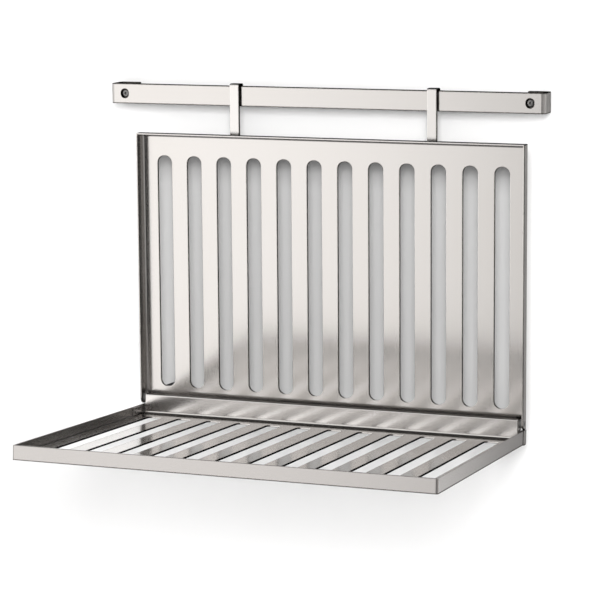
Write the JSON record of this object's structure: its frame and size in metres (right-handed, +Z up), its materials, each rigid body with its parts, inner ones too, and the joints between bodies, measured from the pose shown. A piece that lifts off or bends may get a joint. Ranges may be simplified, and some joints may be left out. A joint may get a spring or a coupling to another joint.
{
  "type": "wall mounted fold down drying rack",
  "caption": "Stainless plate drying rack that hooks on a wall rail: slotted back panel with a slotted tray hinged at its foot, which folds up flat.",
  "frame": {"origin": "on the wall plane, midway between the two wall screws", "axes": "+X along the wall, +Y into the wall, +Z up"},
  "size_m": [0.45, 0.3439, 0.3403],
  "materials": {
    "rail_steel": "satin brushed stainless steel",
    "hook_steel": "satin brushed stainless steel",
    "panel_steel": "satin, nearly mirror stainless sheet",
    "tray_steel": "satin, nearly mirror stainless strip",
    "floor_steel": "satin, nearly mirror stainless sheet",
    "sleeve_steel": "turned stainless steel",
    "screw_steel": "machined stainless steel",
    "pin_steel": "ground stainless steel",
    "bumper_rubber": "moulded black rubber",
    "bush_nylon": "moulded grey nylon"
  },
  "bodies": {
    "rail": {"rail": "rail_steel", "rail_sleeve_left": "sleeve_steel", "rail_sleeve_right": "sleeve_steel", "wall_screw_left": "screw_steel", "wall_screw_right": "screw_steel"},
    "rack": {"hook_left": "hook_steel", "hook_right": "hook_steel", "back_panel": "panel_steel", "weld_nuts": "screw_steel", "bumper_screws": "screw_steel", "wall_bumper_left": "bumper_rubber", "wall_bumper_right": "bumper_rubber", "hinge_pin_left": "pin_steel", "hinge_pin_right": "pin_steel", "pin_clip_left": "pin_steel", "pin_clip_right": "pin_steel"},
    "tray": {"tray_frame": "tray_steel", "tray_floor": "floor_steel", "hinge_ear_left": "tray_steel", "hinge_ear_right": "tray_steel", "hinge_bush_left": "bush_nylon", "hinge_bush_right": "bush_nylon"}
  },
  "joints": [
    {"name": "rail_slide", "type": "slide", "parent": "rail", "child": "rack", "axis": [1, 0, 0], "range_m": [-0.109, 0.085]},
    {"name": "tray_fold", "type": "hinge", "parent": "rack", "child": "tray", "pos_m": [0.01, -0.0362, -0.3064], "axis": [-1, 0, 0], "range_deg": [0, 86]}
  ]
}
